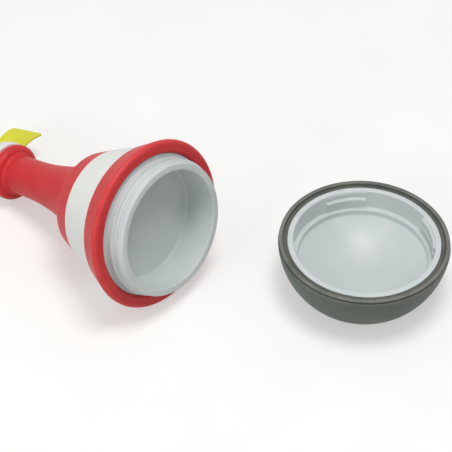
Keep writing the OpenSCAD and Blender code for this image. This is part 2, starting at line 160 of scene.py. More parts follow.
def fine(outline, longest=LONGEST_SIDE):
    """Splits each side of an outline into equal parts that are no longer than a given length."""
    keep = np.append(True, np.linalg.norm(np.diff(outline, axis=0), axis=1) > SAME_POINT)
    outline = outline[keep]
    length = np.linalg.norm(np.diff(outline, axis=0), axis=1)
    parts = np.ceil(length / longest).astype(int)
    side = np.repeat(np.arange(len(parts)), parts)
    place = np.arange(len(side)) - np.repeat(np.cumsum(parts) - parts, parts)
    share = (place / parts[side])[:, None]
    return np.vstack([outline[side] + share * (outline[side + 1] - outline[side]), outline[-1:]])


print("a side of 3 mm in parts:", fine(np.array([[0.0, 0.0], [3.0, 0.0]]))[:, 0].tolist())

# %% [markdown]
# ## From a grid of points to a closed skin
#
# A turned piece is a grid: one row for each point of the outline, one column for each angle.
# The faces of such a grid never change their pattern, so they are worked out as one array. Where
# an outline starts and ends on the axis, or comes back to its first point, the skin closes once
# points in the same place are merged. A closed skin has a volume, and its sign tells whether the
# faces look outwards, so the helper turns them round where they don't and prints the volume,
# which is a handy check on any model.

# %% A turned grid and its paler edges, from rubbing and painted highlight
STEPS_AROUND = 256
EVEN_ANGLES = np.linspace(0, 360, STEPS_AROUND, endpoint=False)
# The paler edge tone spreads along each outline and is full on tight bends. It is partly rubbing and partly a
# painted highlight.
WEAR_AND_HIGHLIGHT_SPREAD_MM = 0.7
FULL_WEAR_AND_HIGHLIGHT_BEND = 1.2


def turned(outline, angles=EVEN_ANGLES):
    """A grid of rows and columns: radius times cosine, radius times sine, and height."""
    turn = np.radians(angles)
    radius = outline[:, 0][:, None]
    height = np.broadcast_to(outline[:, 1][:, None], (len(outline), len(turn)))
    return np.dstack([radius * np.cos(turn), radius * np.sin(turn), height])


def rounding(outline):
    """How sharply an outline bends outwards at each point, from 0 on flats to 1 on tight edges.

    The bend is the turn between neighbouring sides, per length, blurred over a few points.
    """
    side = np.diff(outline, axis=0)
    heading = np.unwrap(np.arctan2(side[:, 1], side[:, 0]))
    along = np.append(0, np.cumsum(np.linalg.norm(side, axis=1)))
    bend = np.append(0, np.append(np.diff(heading), 0))
    weight = np.exp(-0.5 * ((along[:, None] - along[None, :]) / WEAR_AND_HIGHLIGHT_SPREAD_MM) ** 2)
    return np.clip(weight @ bend / FULL_WEAR_AND_HIGHLIGHT_BEND, 0, 1)


print(STEPS_AROUND, "columns are", round(2 * math.pi * 60 / STEPS_AROUND, 2), "mm apart at the rim")

# %% A closed skin
MERGE_M = 1e-6


def skin(name, grid, place, wear_and_highlight_share=None):
    """Makes a closed mesh piece of a grid in millimetres, shaped (rows, columns, 3)."""
    rows, columns = grid.shape[:2]
    row = np.arange(rows - 1)[:, None]
    column = np.arange(columns)[None, :]
    right = (column + 1) % columns
    faces = np.dstack([row * columns + column, row * columns + right,
                       (row + 1) * columns + right, (row + 1) * columns + column]).reshape(-1, 4)
    mesh = bpy.data.meshes.new(name)
    mesh.from_pydata(place(grid.reshape(-1, 3)), [], faces)
    # This share drives a paler edge tone that is partly rubbing and partly a painted highlight.
    wear_and_highlight = mesh.attributes.new("wear_and_highlight", "FLOAT", "POINT")
    shares = np.zeros(rows * columns) if wear_and_highlight_share is None else np.repeat(wear_and_highlight_share, columns)
    wear_and_highlight.data.foreach_set("value", shares.astype(np.float32))
    tidy = bmesh.new()
    tidy.from_mesh(mesh)
    bmesh.ops.remove_doubles(tidy, verts=tidy.verts, dist=MERGE_M)
    tidy.to_mesh(mesh)
    tidy.free()
    mesh.validate()
    points = np.empty(len(mesh.vertices) * 3)
    mesh.vertices.foreach_get("co", points)
    mesh.calc_loop_triangles()
    corners = np.empty(len(mesh.loop_triangles) * 3, int)
    mesh.loop_triangles.foreach_get("vertices", corners)
    a, b, c = points.reshape(-1, 3)[corners].reshape(-1, 3, 3).transpose(1, 0, 2)
    litres = (a * np.cross(b, c)).sum() / 6 * 1000
    if litres < 0:
        mesh.flip_normals()
    mesh.shade_smooth()
    piece = bpy.data.objects.new(name, mesh)
    bpy.context.scene.collection.objects.link(piece)
    print(f"{name}: {len(corners) // 3} triangles, {abs(litres) * 1000:.1f} ml")
    return piece


def dress(piece, node, material):
    """Lets a piece stand for a node of the frame: it gets a material and rides on its body, and the node is
    hidden.
    """
    piece.data.materials.append(material)
    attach(piece, BODY_OF[node])
    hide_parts(node)
    print(f"{piece.name} rides on {BODY_OF[node]} in {material.name}")


# %% [markdown]
# ## Colours and shader nodes
#
# Colours are written as hex values, the way a designer reads them off a screen. Blender mixes
# light in linear values, so one function converts them. Another small function adds a shader
# node with its settings and links, which keeps each material below short enough to read.

# %% Colours


def linear(hex_colour):
    """Turns an sRGB hex colour into linear red, green, blue and alpha."""
    level = np.array([int(hex_colour[i:i + 2], 16) for i in (1, 3, 5)]) / 255
    bright = ((level + 0.055) / 1.055) ** 2.4
    return (*np.where(level <= 0.04045, level / 12.92, bright), 1.0)


print("middle grey #808080 reflects", round(float(linear("#808080")[0]), 3), "of the light")

# %% Shader nodes


def add(tree, kind, inputs=None, **settings):
    """Adds a shader node. Each input is a value, or another node's socket to link to."""
    made = tree.nodes.new("ShaderNode" + kind)
    for name, value in settings.items():
        setattr(made, name, value)
    for name, value in (inputs or {}).items():
        if isinstance(value, bpy.types.NodeSocket):
            tree.links.new(value, made.inputs[name])
        else:
            made.inputs[name].default_value = value
    return made


def new_material(name):
    """An empty node material with its output, and the object's own coordinates."""
    material = bpy.data.materials.new(name)
    material.use_nodes = True
    tree = material.node_tree
    tree.nodes.clear()
    output = add(tree, "OutputMaterial")
    place = add(tree, "TexCoord").outputs["Object"]
    return material, tree, output, place


CLOUDY = (0.3, 0.7)
GRAINY = (0.2, 0.8)


def spots(tree, place, size_mm, detail=2.0, low=0.35, high=0.65):
    """A noise whose blotches are about a given size across, spread from 0 to 1."""
    noise = add(tree, "TexNoise", {"Vector": place, "Scale": 1 / (size_mm * MM), "Detail": detail})
    return add(tree, "MapRange", {"Value": noise.outputs[0], "From Min": low,
                                  "From Max": high}).outputs[0]


def tint(tree, share, first, second):
    """Mixes two colours, each a hex value or a socket, by a share that is a number or a socket."""
    pair = [linear(c) if isinstance(c, str) else c for c in (first, second)]
    return add(tree, "Mix", {0: share, 6: pair[0], 7: pair[1]}, data_type="RGBA").outputs[2]


def grained(tree, height, depth_mm, strength):
    """Turns a height from 0 to 1 into a bump of a real depth."""
    return add(tree, "Bump", {"Strength": strength, "Distance": depth_mm * MM,
                              "Height": height}).outputs[0]


# %% [markdown]
# ## Moulded rubber
#
# The bowl, the bands, the head and the flag are thermoplastic rubber, pressed in a mould whose
# walls were blasted with fine grit. That gives the eye a dull, slightly waxy surface: broad and
# soft highlights, colour that drifts a little from place to place, and a fine grain. Proud edges
# turn a paler tone along the bend share that each mesh carries. That tone is partly rubbing from
# handling and partly a painted highlight, along the edges and on the lip's top. Fine dust dulls
# the shine, so the specular level is below its default. Real grit leaves a grain of about 0.1 mm,
# too fine to show here, so it is drawn at about 0.7 mm and very shallow.

# %% Rubber
RUBBER_IOR = 1.52
CLOUD_MM = 16
MOTTLE_MM = 2.4
GRAIN_MM = 0.7
GRAIN_DEPTH_MM = 0.03
GRAIN_STRENGTH = 0.3
DUSTY_SPECULAR = 0.3
GLOSS_SPREAD = 0.05


def moulded_rubber(name, dark, light, rubbed, roughness=0.5):
    """Rubber drifting between two tones, paler on proud edges: rubbing plus a painted highlight."""
    material, tree, output, place = new_material(name)
    clouds = spots(tree, place, CLOUD_MM, 3, *CLOUDY)
    mottle = spots(tree, place, MOTTLE_MM, 4, *CLOUDY)
    grain = spots(tree, place, GRAIN_MM, 3, *GRAINY)
    drift = add(tree, "Math", {0: clouds, 1: mottle}, operation="ADD").outputs[0]
    half = add(tree, "Math", {0: drift, 1: 0.5}, operation="MULTIPLY").outputs[0]
    body = tint(tree, half, dark, light)
    # Proud edges turn patchily to the paler tone, which is partly rubbing and partly a painted highlight.
    wear_and_highlight = add(tree, "Attribute", attribute_name="wear_and_highlight").outputs["Fac"]
    patchy_wear_and_highlight = add(tree, "Math", {0: wear_and_highlight, 1: clouds}, operation="MULTIPLY").outputs[0]
    colour = tint(tree, patchy_wear_and_highlight, body, rubbed)
    gloss = add(tree, "MapRange", {"Value": half, "To Min": roughness + GLOSS_SPREAD,
                                   "To Max": roughness - GLOSS_SPREAD}).outputs[0]
    shader = add(tree, "BsdfPrincipled", {
        "Base Color": colour, "Roughness": gloss, "IOR": RUBBER_IOR,
        "Normal": grained(tree, grain, GRAIN_DEPTH_MM, GRAIN_STRENGTH),
        "Specular IOR Level": DUSTY_SPECULAR})
    tree.links.new(shader.outputs[0], output.inputs[0])
    print(f"{name}: from {dark} to {light}, rubbed to {rubbed}")
    return material


# Each rubber's third tone is its paler edge tone, partly rubbing and partly a painted highlight, also on the grey
# lip's top.
GREY_RUBBER = moulded_rubber("grey_moulded_rubber", "#5B625C", "#666D66", "#827F78", 0.55)
RED_RUBBER = moulded_rubber("red_moulded_rubber", "#CC2A2F", "#D63639", "#E04E4E", 0.46)
WHITE_RUBBER = moulded_rubber("white_moulded_rubber", "#EBEEE9", "#F1F3EF", "#F5F6F3", 0.5)
YELLOW_RUBBER = moulded_rubber("yellow_moulded_rubber", "#E2DE20", "#E9E544", "#EDEA62", 0.48)
# The seal's dark tones are painted shade: the darkness of the shaded groove that the ring fills.
SEAL_RUBBER_PAINTED_SHADE = moulded_rubber("seal_rubber_painted_shade", "#4D4E49", "#595B58", "#65665F", 0.6)

# %% [markdown]
# ## Moulded polypropylene
#
# The liner and the threaded cup are stiff, pale grey plastic. Polypropylene comes out of a
# polished mould satin, not glossy, with the faintest clouding where the melt cooled at different
# speeds. Its unevenness is finer than a picture shows, so it is drawn as large as the rubber's
# grain and hardly deep enough to see.

# %% Plastic
PLASTIC_IOR = 1.49
SATIN_SPECULAR = 0.35
FLOW_MM = 22
FLOW_DEPTH_MM = 0.02
FLOW_STRENGTH = 0.2
SMOOTHER = 0.04
ROUGHER = 0.06


def moulded_plastic(name, dark, light, roughness=0.36):
    """Satin plastic with faint clouds along the flow, and a very fine uneven surface."""
    material, tree, output, place = new_material(name)
    flow = spots(tree, place, FLOW_MM, 4, *CLOUDY)
    grain = spots(tree, place, GRAIN_MM, 2, *GRAINY)
    gloss = add(tree, "MapRange", {"Value": grain, "To Min": roughness - SMOOTHER,
                                   "To Max": roughness + ROUGHER}).outputs[0]
    shader = add(tree, "BsdfPrincipled", {
        "Base Color": tint(tree, flow, dark, light), "Roughness": gloss, "IOR": PLASTIC_IOR,
        "Specular IOR Level": SATIN_SPECULAR,
        "Normal": grained(tree, grain, FLOW_DEPTH_MM, FLOW_STRENGTH)})
    tree.links.new(shader.outputs[0], output.inputs[0])
    print(f"{name}: from {dark} to {light}")
    return material


PALE_PLASTIC = moulded_plastic("pale_grey_polypropylene", "#CBD3D3", "#D5DBDA")

# %% [markdown]
# ## Cast iron
#
# An iron ring weighs the bowl down. It stays hidden between shell and liner, but it is a real
# piece, so it gets a real finish. Sand casting leaves iron dark, rough and pitted, and one noise
# can drive its colour, its roughness and its pits together.

# %% Iron
CAST_PIT_MM = 1.6
CAST_PIT_DEPTH_MM = 0.2
CAST_STRENGTH = 0.6
CAST_DULL = 0.75
CAST_SHINY = 0.5


def cast_iron(name, dark, light):
    """Rough dark metal: noise drives its colour, its roughness and its pits together."""
    material, tree, output, place = new_material(name)
    pits = spots(tree, place, CAST_PIT_MM, 5, *CLOUDY)
    gloss = add(tree, "MapRange", {"Value": pits, "To Min": CAST_DULL,
                                   "To Max": CAST_SHINY}).outputs[0]
    shader = add(tree, "BsdfPrincipled", {
        "Base Color": tint(tree, pits, dark, light), "Metallic": 1.0, "Roughness": gloss,
        "Normal": grained(tree, pits, CAST_PIT_DEPTH_MM, CAST_STRENGTH)})
    tree.links.new(shader.outputs[0], output.inputs[0])
    print(f"{name}: pits of {CAST_PIT_MM} mm")
    return material


def refinish(node, material):
    """Gives a node of the frame a new material in every slot that its mesh has."""
    mesh = frame["nodes"][node].data
    mesh.materials.clear()
    mesh.materials.append(material)


IRON = cast_iron("sand_cast_iron", "#3E3D3C", "#6E6C69")
refinish("ballast_ring", IRON)

# %% [markdown]
# ## Closed-cell foam
#
# Two blocks of foam fill the body and keep the toy afloat. Cut foam is white and dull, and its
# cells are small round dimples. A pattern of cells around scattered points looks just like it:
# the distance to the nearest point gives both the dimples and the tone.

# %% Foam
FOAM_CELL_MM = 2.2
FOAM_DIMPLE_MM = 0.3
FOAM_STRENGTH = 0.5
FOAM_ROUGHNESS = 0.85


def cell_foam(name, hollow, wall):
    """Foam cells: the distance to the nearest cell centre gives both the dimples and the tone."""
    material, tree, output, place = new_material(name)
    cells = add(tree, "TexVoronoi", {"Vector": place, "Scale": 1 / (FOAM_CELL_MM * MM)})
    distance = cells.outputs["Distance"]
    shader = add(tree, "BsdfPrincipled", {
        "Base Color": tint(tree, distance, hollow, wall), "Roughness": FOAM_ROUGHNESS,
        "IOR": PLASTIC_IOR, "Normal": grained(tree, distance, FOAM_DIMPLE_MM, FOAM_STRENGTH)})
    tree.links.new(shader.outputs[0], output.inputs[0])
    print(f"{name}: cells of {FOAM_CELL_MM} mm")
    return material


FOAM = cell_foam("closed_cell_foam", "#DDDCD4", "#F4F3EE")
refinish("bell_float", FOAM)
refinish("neck_float", FOAM)

# %% [markdown]
# ## Sizes that the bowl's pieces share
#
# The bowl's outside is part of a ball. Three sizes fix that ball: the rim's radius and height,
# and the radius at which it meets the floor. The lip, the groove for the seal and the liner's
# rim then follow each other inwards from the rim, so each place is the last one less a width.

# %% Bowl sizes
RIM_R = 60
BOWL_H = 44
FOOT_R = 38.35
LIP_IN = 0.7
LIP_W = 2.6
SEAL_GROOVE_W = 3.4
LINER_RIM_W = 3.9
LINER_RIM_T = 2
LINER_DROP = 0.5
LINER_T = 2.2

ball_z = (RIM_R ** 2 + BOWL_H ** 2 - FOOT_R ** 2) / (2 * BOWL_H)
ball_r = math.hypot(FOOT_R, ball_z)
lip_out_r = RIM_R - LIP_IN
lip_r = lip_out_r - LIP_W
liner_rim_r = lip_r - SEAL_GROOVE_W
liner_r = liner_rim_r - LINER_RIM_W
liner_top = BOWL_H - LINER_DROP
shelf_z = liner_top - LINER_RIM_T
print(f"the ball has radius {ball_r:.2f}, and the bore has radius {liner_r:.1f} mm")

# %% [markdown]
# ## The bowl's rubber shell
#
# The outside is the ball, cut off at the floor with a soft corner there. Under the rim it turns
# in along a short bevel, then comes a fine square groove, and above that stands a lip with a
# crowned top. Behind the lip are the groove for the seal, a shelf for the liner's rim and the
# hollow under it. All of that is one outline from the middle of the base round to the middle of
# the hollow, turned about the axis, which is also how such a bowl would be turned on a lathe.

# %% Outside of the shell
BASE_ROUND = 4
LIP_H = 0.95
LIP_CROWN = 3
HAIRLINE_H = 1.2
HAIRLINE_D = 0.8
BEVEL_H = 1.5
BEVEL_LEAD = 0.3
SEAL_DROP = 0.6
SEAL_H = 3.4

hairline_z = BOWL_H - HAIRLINE_H
groove_z = BOWL_H - SEAL_DROP - SEAL_H
base_corner = np.array([math.sqrt((ball_r - BASE_ROUND) ** 2 - (ball_z - BASE_ROUND) ** 2),
                        BASE_ROUND])
corner_turn = math.degrees(math.atan2(base_corner[1] - ball_z, base_corner[0]))
crown = np.array([lip_out_r - LIP_W / 2, BOWL_H + LIP_H - LIP_CROWN])
crown_half = math.degrees(math.asin(LIP_W / 2 / LIP_CROWN))


def ball_angle(z, radius):
    """The angle at which a circle about the ball's centre reaches a height."""
    return math.degrees(math.asin((z - ball_z) / radius))


# The bevel leaves the groove's lower edge and ends where it meets the ball, at the share of its
# height that solves a quadratic equation.
bevel_share = np.roots([LIP_IN ** 2 + BEVEL_H ** 2,
                        2 * (lip_out_r * LIP_IN - (hairline_z - ball_z) * BEVEL_H),
                        lip_out_r ** 2 + (hairline_z - ball_z) ** 2 - ball_r ** 2]).max()
bevel_foot = np.array([lip_out_r + LIP_IN * bevel_share, hairline_z - BEVEL_H * bevel_share])
outside = np.vstack([
    [[0, 0]],
    arc(base_corner, BASE_ROUND, -90, corner_turn),
    arc([0, ball_z], ball_r, corner_turn, ball_angle(bevel_foot[1] - BEVEL_LEAD, ball_r), 40)])
print("the bevel meets the ball at", bevel_foot.round(2), "mm")

# %% Rim and inside of the shell
SHELL_T = 3.2
BASE_T = 3.6
COLLAR_DEPTH = 14
EDGE_SOFT = 0.25
BEVEL_ROUNDS = [0.3, 0.3, 0.1, 0.1, 0.2]

hollow_r = ball_r - SHELL_T
thick_z = BOWL_H - COLLAR_DEPTH
bevel = soften([outside[-1], bevel_foot, [lip_out_r, hairline_z],
                [lip_out_r - HAIRLINE_D, hairline_z], [lip_out_r - HAIRLINE_D, BOWL_H],
                [lip_out_r, BOWL_H], arc(crown, LIP_CROWN, 90 - crown_half, 90)[0]],
               BEVEL_ROUNDS)
lip_top = arc(crown, LIP_CROWN, 90 - crown_half, 90 + crown_half)
behind_lip = soften([lip_top[-1], [lip_r, groove_z], [liner_rim_r, groove_z],
                     [liner_rim_r, shelf_z], [liner_r + LINER_T, shelf_z],
                     [liner_r + LINER_T, thick_z]], EDGE_SOFT)
hollow = arc([0, ball_z], hollow_r, ball_angle(thick_z, hollow_r), ball_angle(BASE_T, hollow_r), 30)
shell_outline = fine(np.vstack([outside, bevel, lip_top, behind_lip, hollow, [[0, BASE_T]]]))
shell = skin("bowl_shell_skin", turned(shell_outline), on_table, rounding(shell_outline))
dress(shell, "bowl_shell", GREY_RUBBER)

# %% [markdown]
# ## The seal in its groove
#
# A soft dark ring fills the groove. Its dark tone is painted shade: it is the darkness of the
# shaded groove that the ring fills. Its top is domed, so that the rim of the body presses a
# narrow line of it flat, which is how such seals keep water out. The dome is a parabola across
# the ring, which is simpler than an arc and looks the same on so shallow a curve.

# %% Seal
SEAL_GAP = 0.15
SEAL_DOME = 0.35
seal_in = liner_rim_r + SEAL_GAP
seal_out = lip_r - SEAL_GAP
seal_top = groove_z + SEAL_H
across = np.linspace(-1, 1, 15)
dome = np.column_stack([(seal_in + seal_out) / 2 - across * (seal_out - seal_in) / 2,
                        seal_top - SEAL_DOME * across ** 2])
seal_outline = fine(np.vstack([[[seal_in, groove_z], [seal_out, groove_z]], dome,
                               [[seal_in, groove_z]]]))
seal = skin("rim_seal_skin", turned(seal_outline), on_table, rounding(seal_outline))
dress(seal, "rim_gasket", SEAL_RUBBER_PAINTED_SHADE)

# %% [markdown]
# ## Ramps and ridges
#
# Lugs and threads are ridges. Across, their sides are straight slopes, and their edges stay
# crisp, because such edges catch the light in thin lines. Lengthways a ridge has to begin and
# end, and there a ramp that starts and ends level lets it grow out of the wall without a crease.

# %% Ramps and ridges


def smooth(share):
    """A ramp from 0 to 1 that starts and ends level: 3 s squared minus 2 s cubed."""
    share = np.clip(share, 0, 1)
    return share * share * (3 - 2 * share)


def ridge_section(off, root_t, tip_t):
    """Height of a flat-topped ridge, from 0 to 1, at a distance from its middle line."""
    return np.interp(np.abs(off), [tip_t / 2, root_t / 2], [1, 0])


print("a ridge at 0, 1, 1.2 and 1.5 mm:", ridge_section([0, 1, 1.2, 1.5], 3, 1.4).round(2).tolist())

# %% [markdown]
# ## Lugs on the liner's bore
#
# Four groups of lugs on the bore hold the cup's thread. The lugs could be separate bars pushed
# into the wall, but a mould makes them in one skin with it. So the bore is a finely divided part
# of the grid, and its radius shrinks where a lug stands. All lugs follow one thread, whose
# middle climbs by the pitch in a turn, and a lug is there wherever it fits between the ledge and
# the bore's edge. A lug is a wedge: its upper side slopes, so light from above catches it. One
# group has room for a single lug, with a pad above it that stands out by the thickness of card.
# The mould's pins leave a small dimple just past each end of a lug.

# %% Lugs
LEDGE_DEPTH = 16
LINER_EDGE = 0.5
PITCH = 6
THREAD_GAP = 0.5
RIDGE_H = 1.6
LUG_GROUPS = 4
LUG_ARC = 35
LUG_ANGLE = 101
LUG_DEPTH = 7.2
LUG_CLEAR = 4
LUG_ROOT_T = 2.6
LUG_FACE = (-1.1, -0.4)
LUG_GAP = 0.4
LUG_RUN = 1.5
PAD_T = 0.4
PAD_H = 3.2
PAD_DEPTH = 1.2
PAD_RAMP = 0.6
PIN_R = 0.9
PIN_DEPTH = 0.5
PIN_OFF = 1.3

ledge_z = BOWL_H - LEDGE_DEPTH
crest_r = liner_r - THREAD_GAP
root_r = crest_r - RIDGE_H
lug_h = liner_r - (root_r + LUG_GAP)
lug_low = ledge_z + LUG_CLEAR
lug_high = liner_top - LINER_EDGE - LUG_ROOT_T / 2


def lug_heights(past):
    """Heights of the lugs in the group that stands at an angle past the first one."""
    follow = BOWL_H - LUG_DEPTH + PITCH * (past - 360 if past > 180 else past) / 360
    rows = follow + PITCH * np.arange(-1, 2)
    return rows[(rows > lug_low) & (rows < lug_high)]


def lug_relief(angle, z):
    """How far the lugs and pads stand out of the bore at each angle and height."""
    relief = np.zeros(np.broadcast(angle, z).shape)
    for past in np.arange(LUG_GROUPS) * 360 / LUG_GROUPS:
        off = (angle - LUG_ANGLE - past + 180) % 360 - 180
        ends = smooth((LUG_ARC / 2 + LUG_RUN / 2 - np.abs(off)) / LUG_RUN)
        past_end = (np.abs(off) - LUG_ARC / 2) * math.radians(liner_r)
        heights = lug_heights(past)
        if len(heights) == 1:
            pad_off = z - (BOWL_H - PAD_DEPTH - PAD_H / 2)
            pad = ridge_section(pad_off, PAD_H, PAD_H - PAD_RAMP)
            relief = np.maximum(relief, PAD_T * ends * pad)
        for height in heights:
            from_middle = z - height - PITCH * off / 360
            bar = np.interp(from_middle, [-LUG_ROOT_T / 2, *LUG_FACE, LUG_ROOT_T / 2], [0, 1, 1, 0])
            pin = smooth(1 - np.hypot(past_end - PIN_OFF, from_middle) / PIN_R)
            relief = np.maximum(relief, lug_h * ends * bar) - PIN_DEPTH * pin
    return relief


for past in (0, 90, 180, 270):
    print(f"lugs at {LUG_ANGLE + past} degrees have their middles at", lug_heights(past).round(1))

# %% [markdown]
# ## The liner
#
# The liner is the hard inner bowl: a flat rim, the bore, a ledge, a short straight wall and a
# dished floor. Its outline is turned like the shell's. Only the bore's rows are closer together,
# and there are extra columns at the ends of the lugs, where the relief changes fast.

# %% Liner outline
LEDGE_W = 3.4
STEP_H = 4.3
FLOOR_GAP = 0.2
LINER_ROUNDS = [0.5, 0.6, LINER_EDGE, 0.3, 0.2, 0.2, 0.6, 0.6]

ledge_r = liner_r - LEDGE_W
dish_top = ledge_z - STEP_H
dish_bottom = BASE_T + FLOOR_GAP + LINER_T
dish_r = (ledge_r ** 2 + (dish_top - dish_bottom) ** 2) / (2 * (dish_top - dish_bottom))
dish_z = dish_bottom + dish_r
outer_r = liner_r + LINER_T
under_r = dish_r + LINER_T
dish_edge = math.degrees(math.asin(ledge_r / dish_r)) - 90
under_edge = math.degrees(math.asin((ledge_r + LINER_T) / under_r)) - 90
liner_outline = fine(np.vstack([
    arc([0, dish_z], dish_r, -90, dish_edge, 48),
    soften([[ledge_r, dish_top], [ledge_r, ledge_z], [liner_r, ledge_z], [liner_r, liner_top],
            [liner_rim_r, liner_top], [liner_rim_r, shelf_z], [outer_r, shelf_z],
            [outer_r, ledge_z - LINER_T], [ledge_r + LINER_T, ledge_z - LINER_T],
            [ledge_r + LINER_T, dish_top]], LINER_ROUNDS),
    arc([0, dish_z], under_r, under_edge, -90, 40)]))
print(f"the dished floor is part of a ball of radius {dish_r:.1f} mm")

# %% Liner skin
LUG_ROW_MM = 0.2
ON_WALL = 1e-3
END_ANGLES = np.linspace(-3, 3, 17)


def relieved(outline, angles, rows, relief):
    """A turned grid whose radius, over a run of rows, is the radius plus a relief."""
    grid = turned(outline, angles)
    radius = outline[rows, 0][:, None] + relief(angles[None, :], outline[rows, 1][:, None])
    grid[rows, :, 0] = radius * np.cos(np.radians(angles))
    grid[rows, :, 1] = radius * np.sin(np.radians(angles))
    return grid


def close_rows(outline, chosen, spacing):
    """Splits the chosen straight run of an outline finely, and says which rows it has become."""
    first, last = np.flatnonzero(chosen)[[0, -1]]
    run = fine(outline[[first, last]], spacing)
    return np.vstack([outline[:first], run, outline[last + 1:]]), slice(first, first + len(run))


lug_ends = np.array([LUG_ANGLE + 360 * group / LUG_GROUPS + side * LUG_ARC / 2
                     for group in range(LUG_GROUPS) for side in (-1, 1)])
around = (lug_ends[:, None] + END_ANGLES).ravel() % 360
liner_angles = np.unique(np.round(np.concatenate([EVEN_ANGLES, around]), 3))
in_bore = (np.abs(liner_outline[:, 0] - liner_r) < ON_WALL) & (liner_outline[:, 1] > ledge_z)
liner_outline, bore_rows = close_rows(liner_outline, in_bore, LUG_ROW_MM)
liner_grid = relieved(liner_outline, liner_angles, bore_rows,
                      lambda angle, z: -lug_relief(angle, z))
liner = skin("bowl_liner_skin", liner_grid, on_table)
dress(liner, "bowl_liner", PALE_PLASTIC)

# %% [markdown]
# ## The thread on the cup
#
# The cup is the body's half of the screw. Round its outside climbs one continuous ridge that
# fades in at the mouth and out at the shoulder. The ridge has to meet the lugs when the toy is
# closed, so its phase isn't free: the frame's swing joint says how the body comes to stand over
# the bowl, and the phase follows from that turn, the lugs' place and the screw's travel. A
# helix could be swept along a curve, but then it would have to be joined to the cup. As a relief
# on the cup's own grid it is one skin with it, as in the mould. Behind the rim the ground
# between its turns lies a little deeper, which gives the turns their shadow lines.

# %% Phase of the thread
CUP_OUT = 13.2
CUP_EDGE = 0.8
RIDGE_ROOT_W = 3
RIDGE_CREST_W = 1.4
RIDGE_TURNS = 1.6
RIDGE_RUN = 58
VALLEY_DEPTH = 0.7
VALLEY_START = 3
VALLEY_BLEND = 2
SEAT_GAP = 0.1

lift = JOINTS["screw_advance"]["range_m"][1] / MM
swing = math.radians(JOINTS["body_swing"]["range_deg"][1])
swing_axis = np.array(JOINTS["body_swing"]["axis"])
along = swing_axis * (swing_axis @ upward)
lifted = along + (upward - along) * math.cos(swing) + np.cross(swing_axis, upward) * math.sin(swing)
lifted_turn = math.degrees(math.atan2(lifted[1], lifted[0]))
thread_z = PITCH / 2 - LIP_H - SEAT_GAP - lift - LUG_DEPTH + PITCH * (lifted_turn - LUG_ANGLE) / 360
thread_start = 360 * (-CUP_OUT + CUP_EDGE + RIDGE_ROOT_W / 2 - thread_z) / PITCH
thread_sweep = 360 * RIDGE_TURNS
print(f"the ridge starts at {thread_start % 360:.1f} degrees and runs {thread_sweep:.0f} degrees")

# %% Thread relief


def thread_relief(angle, z):
    """Ground plus ridge: the ground sinks in behind the rim, and each turn rises from it.

    Across a turn the height is the ground plus the crest's share of the way up to RIDGE_H.
    """
    crest = np.zeros(np.broadcast(angle, z).shape)
    first_turn = math.floor(thread_start / 360)
    for turn in range(first_turn, first_turn + math.ceil(RIDGE_TURNS) + 1):
        climb = angle + 360 * turn
        gone = climb - thread_start
        fade = smooth(np.minimum(gone, thread_sweep - gone) / RIDGE_RUN)
        bar = ridge_section(z - thread_z - PITCH * climb / 360, RIDGE_ROOT_W, RIDGE_CREST_W)
        crest = np.maximum(crest, fade * bar)
    ground = -VALLEY_DEPTH * smooth((z + CUP_OUT - VALLEY_START) / VALLEY_BLEND)
    return ground + (RIDGE_H - ground) * crest


heights = thread_relief(EVEN_ANGLES[None, :], np.array([[-CUP_OUT / 2]]))
print("halfway down, the relief runs from", heights.min().round(2), "to", heights.max().round(2))

# %% [markdown]
# ## The threaded cup
#
# The cup is drawn with its mouth down, so its rim has the lowest height. Its shoulder sits a
# little behind the flange's face, where the flange's edge rounds back into the hole, and a wider
# flange behind it holds it inside the body. Only the part in front of the shoulder carries the
# thread, so only those rows are close together.

# %% Cup
FLANGE_W = 9.2
HOLE_DROP = 1.4
SKIN_T = 3
CUP_WALL = 5
CUP_IN = 12.5
CUP_T = 2.2
CUP_GAP = 0.2
CUP_SEAT_T = 2
CUP_SEAT_GAP = 0.9
CUP_SINK = 0.1
CUP_CORNER = 1.5
FLANGE_BAND_H = 18
FLANGE_BAND_IN = 7.7
THREAD_ROW_MM = 0.2
CUP_ROUNDS = [CUP_CORNER, CUP_EDGE, CUP_EDGE, 0.4, 0.3, 0.2, 0.3, 0.3, 0.5, 1.5]

cup_r = root_r - CUP_WALL
hole_r = RIM_R - FLANGE_W
cup_shoulder_r = hole_r - CUP_GAP
cup_shoulder_z = HOLE_DROP + CUP_SINK
wall_slope = FLANGE_BAND_IN / FLANGE_BAND_H
cup_seat_r = RIM_R - wall_slope * (SKIN_T + CUP_SEAT_T) - SKIN_T - CUP_SEAT_GAP
cup_outline = fine(soften([
    [0, CUP_IN], [cup_r, CUP_IN], [cup_r, -CUP_OUT], [root_r, -CUP_OUT], [root_r, cup_shoulder_z],
    [cup_shoulder_r, cup_shoulder_z], [cup_shoulder_r, SKIN_T], [cup_seat_r, SKIN_T],
    [cup_seat_r, SKIN_T + CUP_SEAT_T], [cup_r + CUP_T, SKIN_T + CUP_SEAT_T],
    [cup_r + CUP_T, CUP_IN + CUP_T], [0, CUP_IN + CUP_T]], CUP_ROUNDS))
on_root = (np.abs(cup_outline[:, 0] - root_r) < ON_WALL) & (cup_outline[:, 1] < cup_shoulder_z)
cup_outline, root_rows = close_rows(cup_outline, on_root, THREAD_ROW_MM)
cup = skin("threaded_cup_skin", relieved(cup_outline, EVEN_ANGLES, root_rows, thread_relief), lying)
dress(cup, "insert_cup", PALE_PLASTIC)

# %% [markdown]
# ## The red flange band
#
# The lowest red band starts at the flat face that closes on the bowl. Its outer edge is round,
# and its inner edge rolls back into the hole round the cup. The band stands a little proud of
# the white one above it, and the step between them has a small fillet, as rubber that was
# moulded over rubber shows.

